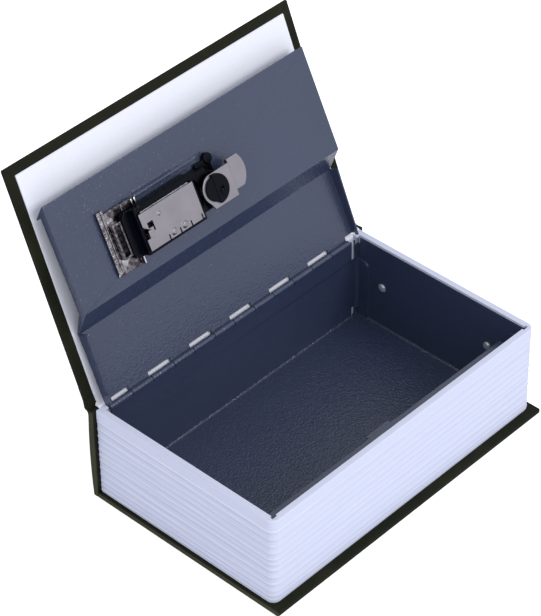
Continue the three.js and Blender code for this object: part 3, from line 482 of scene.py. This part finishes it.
def add_piece(name, verts, faces, body, slot, material=None, bevel=0.0):
    """A new piece from points in millimetres. It rides on the body, unless that is None."""
    mesh = bpy.data.meshes.new(name)
    mesh.from_pydata([Vector(v) * MM for v in verts], [], faces)
    mesh.validate()
    cleaned = bmesh.new()
    cleaned.from_mesh(mesh)
    bmesh.ops.recalc_face_normals(cleaned, faces=cleaned.faces)
    cleaned.to_mesh(mesh)
    cleaned.free()
    mesh.materials.append(material or SLOTS[slot])
    obj = bpy.data.objects.new(name, mesh)
    bpy.context.collection.objects.link(obj)
    soften(obj, bevel, weld=False)
    if body:
        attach(obj, body)
    return obj


def extruded(outline, x0, x1, steps=1):
    """Points and faces of a closed [y, z] outline run along X."""
    count = len(outline)
    verts = []
    for i in range(steps + 1):
        x = x0 + (x1 - x0) * i / steps
        verts += [(x, y, z) for y, z in outline]
    faces = [tuple(range(count)), tuple(reversed(range(steps * count, (steps + 1) * count)))]
    for i in range(steps):
        for j in range(count):
            a = i * count + j
            b = i * count + (j + 1) % count
            faces.append((a, b, b + count, a + count))
    return verts, faces


def circle(radius, height, steps):
    """A ring of points about Z."""
    turns = [math.tau * i / steps for i in range(steps)]
    return [(radius * math.cos(turn), radius * math.sin(turn), height) for turn in turns]


def band(low, high, steps):
    """The faces between two rings, given by the numbers of their first points."""
    faces = []
    for i in range(steps):
        j = (i + 1) % steps
        faces.append((low + i, high + i, high + j, low + j))
    return faces


def lathe(profile, steps=32):
    """Points and faces of a [radius, height] profile turned about Z, whose ends lie on the axis."""
    verts = []
    rings = []
    for radius, height in profile:
        if radius < 1e-6:
            rings.append([len(verts)] * steps)
            verts.append((0, 0, height))
            continue
        rings.append(list(range(len(verts), len(verts) + steps)))
        verts += circle(radius, height, steps)
    faces = []
    for low, high in zip(rings, rings[1:]):
        for i in range(steps):
            j = (i + 1) % steps
            corners = []
            for index in (low[i], low[j], high[j], high[i]):
                if index not in corners:
                    corners.append(index)
            faces.append(tuple(corners))
    return verts, faces


def placed_on_lid(verts):
    """The lid's own [x, v, w] points, in millimetres, as points of the open safe."""
    return [on_lid(*point) / MM for point in verts]


def merged(parts):
    """Several (points, faces) lists as one."""
    verts, faces = [], []
    for more, rows in parts:
        base = len(verts)
        verts += list(more)
        faces += [tuple(base + i for i in row) for row in rows]
    return verts, faces


def rounded(points, rounds=2):
    """An open line of points with its corners cut round."""
    near, far = 0.75, 0.25
    for _ in range(rounds):
        line = [points[0]]
        for (ay, az), (by, bz) in zip(points, points[1:]):
            line.append((ay * near + by * far, az * near + bz * far))
            line.append((ay * far + by * near, az * far + bz * near))
        line.append(points[-1])
        points = line
    return points


# Book case

def joint_end(x, z):
    """The cloth's ends stay a little inside the spine's ends and follow the cover's shorter left end."""
    margin = 0.5
    bend_foot, bend_reach = 49.5, 1.5
    right = (x / BOARD_END + 1) / 2
    left_margin = margin + COVER_INSET * eased(z, bend_foot, bend_reach)
    return x + left_margin * (1 - right) - margin * right


def joint_cloth():
    """The dark cloth from the spine, round the joint, to the outside of the cover."""
    outer = rounded([
        (56.5, 43.6), (57.0, 44.5), (56.95, 48.6), (57.5, 49.7), (59.0, 49.8), (60.2, 50.3),
        on_cover(4, 4.62), on_cover(11, 4.6),
    ])
    inner = [
        on_cover(11, 4.3), on_cover(1.5, 4.3), on_cover(1.5, 2.4), on_cover(5, 2.4), on_cover(5, 2.2),
        on_cover(1.9, 2.1), (57.2, 51.5), (SPINE_OUT - 0.2, SPINE_TOP), (SPINE_OUT - 0.2, 43.6),
    ]
    verts, faces = extruded(outer + inner, -BOARD_END, BOARD_END, steps=24)
    verts = [(joint_end(x, z), y, z) for x, y, z in verts]
    piece = add_piece("joint_cloth", verts, faces, None, "book_cloth")
    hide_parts("front_joint_cloth")
    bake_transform(piece)


def paper_end(x, y):
    """The paper is longer on the pages than on the cover, whose lining has a shorter left end."""
    more_left, more_right = 1.0, 3.0
    crease, crease_reach = 56.2, 1.2
    right = (x / PAPER_END + 1) / 2
    up = eased(y, crease, crease_reach)
    left_shift = COVER_INSET * up - more_left * (1 - up)
    return x + (1 - right) * left_shift + right * more_right * (1 - up)


def joint_paper():
    """The white paper that runs from the pages over the joint to the lining of the cover."""
    under = rounded([
        (53.0, 50.0), (53.5, 50.8), (54.3, 51.55), (55.9, 51.6), (57.2, 51.6), (57.75, 52.2),
        on_cover(3.5, 1.8), on_cover(7, 1.79),
    ])
    lies_below = 51.8
    lying, standing = (-0.05, 0.28), (-0.26, 0.1)
    over = []
    for y, z in under:
        aside, up = lying if z < lies_below else standing
        over.append((y + aside, z + up))
    verts, faces = extruded(under + over[::-1], -PAPER_END, PAPER_END, steps=24)
    verts = [(paper_end(x, y), y, z) for x, y, z in verts]
    piece = add_piece("joint_paper", verts, faces, None, "endpaper")
    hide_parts("front_joint_paper")
    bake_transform(piece)


def lining_paper():
    """The paper lining on the inside of the cover, glued down to the board."""
    near, far = 1.8, 113.5
    back, face = 1.8, 2.4
    rim, cut = 2.12, 0.4
    outline = [
        on_cover(near, back), on_cover(near, face), on_cover(far, face),
        on_cover(far, rim), on_cover(far - cut, back),
    ]
    verts, faces = extruded(outline, COVER_INSET - PAPER_END, PAPER_END, steps=12)
    piece = add_piece("cover_lining", verts, faces, "cover", "endpaper", bevel=0.12)
    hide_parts("front_endpaper")


def spine_cloth():
    """The spine, slightly bowed, with its foot and its head turned in a little."""
    bow = 0.9
    steps = 14
    low, high, foot_cut = 0.25, 0.4, 0.3
    outer = []
    for i in range(steps + 1):
        share = i / steps
        z = low + share * (SPINE_TOP - high - low)
        outer.append((SPINE_OUT + bow * math.sin(math.pi * share) ** 0.8, z))
    foot = [(SPINE_IN, 0.0), (SPINE_OUT - foot_cut, 0.0)]
    head = [(SPINE_OUT - high, SPINE_TOP), (SPINE_IN, SPINE_TOP)]
    outline = foot + outer + head
    verts, faces = extruded(outline, -BOARD_END, BOARD_END, steps=24)
    piece = add_piece("spine_cloth", verts, faces, "book", "book_cloth", bevel=0.45)
    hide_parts("spine_board")


def turned_in_corners():
    """The folds of the cloth at the two corners inside the front cover."""
    corner, lining = 117.7, 113.1
    corner_gap, lining_end = 0.5, 84.4
    width, raised, sunk = 0.5, 2.36, 2.2
    parts = []
    for side in (-1, 1):
        inset = COVER_INSET if side < 0 else 0
        outer, inner = side * (BOARD_END - corner_gap - inset), side * (lining_end - inset)
        verts = []
        for depth in (raised, sunk):
            for x, along in ((outer, corner), (outer - side * width, corner),
                             (inner - side * width, lining), (inner, lining)):
                verts.append((x, *on_cover(along, depth)))
        faces = [(0, 1, 2, 3), (4, 7, 6, 5), (0, 4, 5, 1), (1, 5, 6, 2), (2, 6, 7, 3), (3, 7, 4, 0)]
        parts.append((verts, faces))
    verts, faces = merged(parts)
    add_piece("corner_folds", verts, faces, "cover", "book_cloth", bevel=0.06)


# Tray

def fillet(a, b, normal_a, normal_b, radius, steps=5):
    """A concave bend along the line a to b, between two walls with these inward normals."""
    a, b = Vector(a), Vector(b)
    na, nb = Vector(normal_a), Vector(normal_b)
    ring = []
    for i in range(steps + 1):
        turn = math.pi / 2 * i / steps
        ring.append(na * radius * (1 - math.sin(turn)) + nb * radius * (1 - math.cos(turn)))
    ring.append(Vector((0, 0, 0)))
    count = len(ring)
    verts = [a + r for r in ring] + [b + r for r in ring]
    faces = [tuple(range(count)), tuple(reversed(range(count, 2 * count)))]
    for j in range(count):
        k = (j + 1) % count
        faces.append((j, k, k + count, j + count))
    return verts, faces


def tray_bends():
    """Bend radii where the tray's walls meet its floor and each other."""
    front, rear, floor = TRAY_FRONT, TRAY_REAR, TRAY_FLOOR
    wall = TRAY_END + TRAY_SHEET
    rear_end, corner_relief = TRAY_END - 3.6, 7.2
    rear_foot, rear_top, front_top = floor + 4.5, 37.0, 43.0
    radius, rear_radius, front_radius = 1.1, 1.6, 1.2
    up = (0, 0, 1)
    parts = [
        fillet((-rear_end, rear, floor), (rear_end, rear, floor), (0, -1, 0), up, radius),
        fillet((-wall, front, floor), (wall, front, floor), (0, 1, 0), up, radius),
        fillet((-wall, front, floor), (-wall, rear - corner_relief, floor), (1, 0, 0), up, radius),
        fillet((wall, front, floor), (wall, rear - corner_relief, floor), (-1, 0, 0), up, radius),
    ]
    for side in (-1, 1):
        x = side * TRAY_END
        inward = (-side, 0, 0)
        parts.append(fillet((x, rear, rear_foot), (x, rear, rear_top), inward, (0, -1, 0), rear_radius))
        parts.append(fillet((x, front, floor), (x, front, front_top), inward, (0, 1, 0), front_radius))
    verts, faces = merged(parts)
    add_piece("tray_bends", verts, faces, "book", "slate_steel")


def rivet_domes():
    """The riveted heads on the tray's end walls: a domed crown over a low collar."""
    radius, shank, length = RIVET_RADIUS, 0.9, 1.7
    crown, crown_base, steps = radius - 0.12, 0.32, 8
    profile = [
        (0.0, -length), (shank, -length), (shank + 0.05, 0.0),
        (radius - 0.15, 0.0), (radius, 0.12), (radius, 0.3),
    ]
    for i in range(steps + 1):
        rise = math.pi / 2 * i / steps
        profile.append((crown * math.cos(rise), crown_base + (RIVET_HEAD - crown_base) * math.sin(rise)))
    for i, (side, y, z) in enumerate(RIVETS):
        verts, faces = lathe(profile)
        face = side * (TRAY_END + TRAY_SHEET)
        turn = Matrix.Rotation(-side * math.pi / 2, 4, "Y")
        place = Matrix.Translation((face, y, z)) @ turn
        verts = [place @ Vector(v) for v in verts]
        piece = add_piece(f"rivet_{i + 1}", verts, faces, "book", "zinc_steel")
        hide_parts(f"case_rivet_{i + 1}")


# Lock

def panel_beads():
    """Two low ridges pressed into the lid's panel above the lock, with a shallow valley between them."""
    sunk = 0.1
    panel = LOCK_FLOOR - 0.3
    ridge = [
        (17.6, 0.0), (17.25, 0.4), (16.8, 0.62), (16.2, 0.66), (15.3, 0.5),
        (14.6, 0.44), (14.3, 0.62), (13.95, 0.72), (13.6, 0.55), (13.3, 0.0),
    ]
    left, right = SPINDLE[0] - 37.0, SPINDLE[0] + 3.4
    run_out = [(0.0, 0.05), (0.5, 0.7), (1.2, 1.0)]
    stations = [(left + step, lift) for step, lift in run_out]
    stations += [(right - step, lift) for step, lift in reversed(run_out)]
    rings = []
    for x, lift in stations:
        rings.append([(x, SPINDLE[1] + v, panel - sunk + (sunk + h) * lift) for v, h in ridge])
    count = len(ridge)
    verts = [point for ring in rings for point in ring]
    faces = [tuple(range(count)), tuple(reversed(range(count * (len(rings) - 1), count * len(rings))))]
    for i in range(len(rings) - 1):
        for j in range(count):
            k = (j + 1) % count
            faces.append((i * count + j, i * count + k, (i + 1) * count + k, (i + 1) * count + j))
    add_piece("panel_beads", placed_on_lid(verts), faces, "lid", "slate_steel")


def clip_teeth():
    """Fine teeth along the clip's rolled edge."""
    count, pitch = 34, 0.86
    left, right = SPINDLE[0] - 59.35, SPINDLE[0] - 57.75
    first = SPINDLE[1] - 12.2
    top = LOCK_FLOOR + 1.5
    foot, half, crest = top - 0.05, 0.26, 0.13
    height, uneven = 0.24, 0.06
    parts = []
    for i in range(count):
        v = first + i * pitch
        tip = top + height + uneven * math.sin(i * 2.4)
        ridge = [(v - half, foot), (v - crest, tip), (v + crest, tip), (v + half, foot)]
        parts.append(extruded(ridge, left, right))
    verts, faces = merged(parts)
    add_piece("clip_teeth", placed_on_lid(verts), faces, "lid", "chrome_steel", bevel=0.05)


def text_mesh(character, size):
    """The outline of one digit as a thin mesh, centred on the origin, in millimetres."""
    curve = bpy.data.curves.new("digit", "FONT")
    curve.body = character
    curve.size = size
    curve.extrude = 0.03
    curve.align_x = "CENTER"
    curve.align_y = "CENTER"
    curve.resolution_u = 3
    holder = bpy.data.objects.new("digit", curve)
    bpy.context.collection.objects.link(holder)
    bpy.context.view_layer.update()
    depsgraph = bpy.context.evaluated_depsgraph_get()
    mesh = bpy.data.meshes.new_from_object(holder.evaluated_get(depsgraph))
    verts = [tuple(v.co) for v in mesh.vertices]
    faces = [tuple(p.vertices) for p in mesh.polygons]
    bpy.data.objects.remove(holder)
    bpy.data.curves.remove(curve)
    bpy.data.meshes.remove(mesh)
    return verts, faces


def flat_middle(i):
    """The turn of a dial's flat about its axis. The first one stands outwards, in its window."""
    return math.tau * i / DIAL_FLATS - math.pi / 2


def wheel_outline():
    """Flats with a raised bar between each two, as [v, w] points of a dial."""
    bar, groove, bed = 6.28, 5.95, 5.82
    half = [(0.2, groove), (0.23, bar), (0.3, bar)]
    stations = [(-turn, radius) for turn, radius in reversed(half)] + [(0.0, bed)] + half
    points = []
    for i in range(DIAL_FLATS):
        for shift, radius in stations:
            turn = flat_middle(i) + shift
            points.append((DIAL_AXIS[0] + radius * math.cos(turn), DIAL_AXIS[1] + radius * math.sin(turn)))
    return points


def digits_on_dial(digits, x):
    """A digit on each flat of the dial at x, upright for someone in front of the shut book."""
    middle = Vector((x, *DIAL_AXIS))
    parts = []
    for i, (points, faces) in enumerate(digits):
        turn = flat_middle(i)
        out = Vector((0, math.cos(turn), math.sin(turn)))
        up = Vector((0, math.sin(turn), -math.cos(turn)))
        verts = [middle + out * (DIGIT_RADIUS + c) + Vector((a, 0, 0)) + up * b for a, b, c in points]
        parts.append((verts, faces))
    return merged(parts)


def dial_wheels():
    """The three dials, each with a digit on each of its flats."""
    half = DIAL_WIDTH / 2
    digits = [text_mesh(str(i), DIGIT_SIZE) for i in range(DIAL_FLATS)]
    for n, x in enumerate(DIAL_X):
        verts, faces = extruded(wheel_outline(), x - half, x + half)
        verts = placed_on_lid(verts)
        wheel = add_piece(f"dial_{n + 1}_wheel", verts, faces, f"dial_{n + 1}", "chrome_steel", bevel=0.12)
        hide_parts(f"dial_wheel_{n + 1}")
        verts, faces = digits_on_dial(digits, x)
        verts = placed_on_lid(verts)
        add_piece(f"dial_{n + 1}_digits", verts, faces, f"dial_{n + 1}", "black_plastic")


def screw_dome(rings, steps):
    """The points of a dome with a cross recess: one in its middle, then a ring for each radius."""
    height, reach = 1.2, 2.45
    slot_half, slot_end = 0.3, 1.5
    fall, taper, least = 0.75, 2.2, 0.2
    pit = -0.1
    verts = [(0, 0, pit)]
    for radius in rings:
        dome = height * math.sqrt(max(0.0, 1 - (radius / reach) ** 2))
        recess = fall * (1 - radius / taper) + least
        for a, b, _ in circle(radius, 0.0, steps):
            in_slot = min(abs(a), abs(b)) < slot_half and radius < slot_end
            verts.append((a, b, dome - (recess if in_slot else 0)))
    return verts


def screw_heads():
    """Screws with a domed cross head and a shank."""
    steps = 48
    rings = [0.25, 0.45, 0.65, 0.85, 1.05, 1.25, 1.45, 1.65, 1.85, 2.1, 2.32, 2.4]
    head, shank, length = rings[-1], 1.2, 4.6
    rows = rings + [head, shank, shank]
    faces = [(0, 1 + i, 1 + (i + 1) % steps) for i in range(steps)]
    for k in range(len(rows) - 1):
        faces += band(1 + k * steps, 1 + (k + 1) * steps, steps)
    last = 1 + (len(rows) - 1) * steps
    faces.append(tuple(range(last, last + steps)))
    points = screw_dome(rings, steps)
    points += circle(head, 0.0, steps) + circle(shank, 0.0, steps) + circle(shank, -length, steps)
    foot = FACEPLATE_FRONT - FACEPLATE_GAP
    for n, (x, v) in enumerate(SCREWS):
        verts = placed_on_lid([(x + a, v + b, foot - c) for a, b, c in points])
        piece = add_piece(f"screw_{n + 1}", verts, faces, "lid", "zinc_steel")
        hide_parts(f"lock_screw_{n + 1}")


def knob_mark():
    """A raised white line on the knob's grip that shows its setting."""
    disc, grip = 1.5, 3.2
    sunk, raised = 0.1, 0.18
    half_foot, half_top = 0.45, 0.3
    front = FACEPLATE_FRONT - FACEPLATE_GAP - disc - grip
    foot, top = front + sunk, front - raised
    start, end = SPINDLE[0] + 1.6, SPINDLE[0] + 6.9
    v = SPINDLE[1]
    outline = [(v - half_foot, foot), (v - half_top, top), (v + half_top, top), (v + half_foot, foot)]
    verts, faces = extruded(outline, start, end)
    verts = placed_on_lid(verts)
    add_piece("knob_mark", verts, faces, "knob", "black_plastic", material=INK, bevel=0.08)


# Studio

def floor_material():
    """A pale floor that the camera sees as nearly white, with the object's shadow on it."""
    s = Surface("floor", (243, 244, 248), 0.85)
    s.shade(s.noise(3, 2), (0.3, (241, 242, 246)), (0.7, (246, 247, 251)))
    path = s.nodes.new("ShaderNodeLightPath")
    seen = s.math("MULTIPLY", path.outputs["Is Camera Ray"], 0.7)
    s.shader.inputs["Emission Color"].default_value = (1, 1, 1, 1)
    s.links.new(seen, s.shader.inputs["Emission Strength"])
    return s.material


def make_floor():
    """A flat floor just under the book."""
    reach, drop = 5, 0.0001
    corners = [(-reach, -reach, 0), (reach, -reach, 0), (reach, reach, 0), (-reach, reach, 0)]
    mesh = bpy.data.meshes.new("floor")
    mesh.from_pydata(corners, [], [(0, 1, 2, 3)])
    floor = bpy.data.objects.new("floor", mesh)
    floor.location.z = -drop
    bpy.context.collection.objects.link(floor)
    floor.data.materials.append(floor_material())


def make_light(name, place, size, power):
    """A soft round lamp that looks at the middle of the book."""
    aim = (0, 0, 0.03)
    data = bpy.data.lights.new(name, "AREA")
    data.shape = "DISK"
    data.size = size
    data.energy = power
    lamp = bpy.data.objects.new(name, data)
    lamp.location = place
    lamp.rotation_euler = (Vector(aim) - Vector(place)).to_track_quat("-Z", "Y").to_euler()
    bpy.context.collection.objects.link(lamp)


def make_world():
    """A pale world, at full strength for the camera and for reflections."""
    world = bpy.data.worlds.new("world")
    bpy.context.scene.world = world
    world.use_nodes = True
    ambient, full = 0.72, 1.0
    tree = world.node_tree
    background = tree.nodes["Background"]
    background.inputs["Color"].default_value = (0.95, 0.965, 1, 1)
    path = tree.nodes.new("ShaderNodeLightPath")
    either = tree.nodes.new("ShaderNodeMath")
    either.operation = "MAXIMUM"
    tree.links.new(path.outputs["Is Camera Ray"], either.inputs[0])
    tree.links.new(path.outputs["Is Glossy Ray"], either.inputs[1])
    level = tree.nodes.new("ShaderNodeMapRange")
    level.inputs["To Min"].default_value = ambient
    level.inputs["To Max"].default_value = full
    tree.links.new(either.outputs["Value"], level.inputs["Value"])
    tree.links.new(level.outputs["Result"], background.inputs["Strength"])


make_camera()
joint_cloth()
joint_paper()
lining_paper()
spine_cloth()
turned_in_corners()
tray_bends()
rivet_domes()
panel_beads()
clip_teeth()
dial_wheels()
screw_heads()
knob_mark()
make_floor()
make_light("key", (0.35, -1.75, 1.35), size=1.1, power=17)
make_light("fill", (-1.6, -0.3, 0.35), size=0.8, power=2.4)
make_world()
bpy.context.scene.view_settings.view_transform = "Standard"
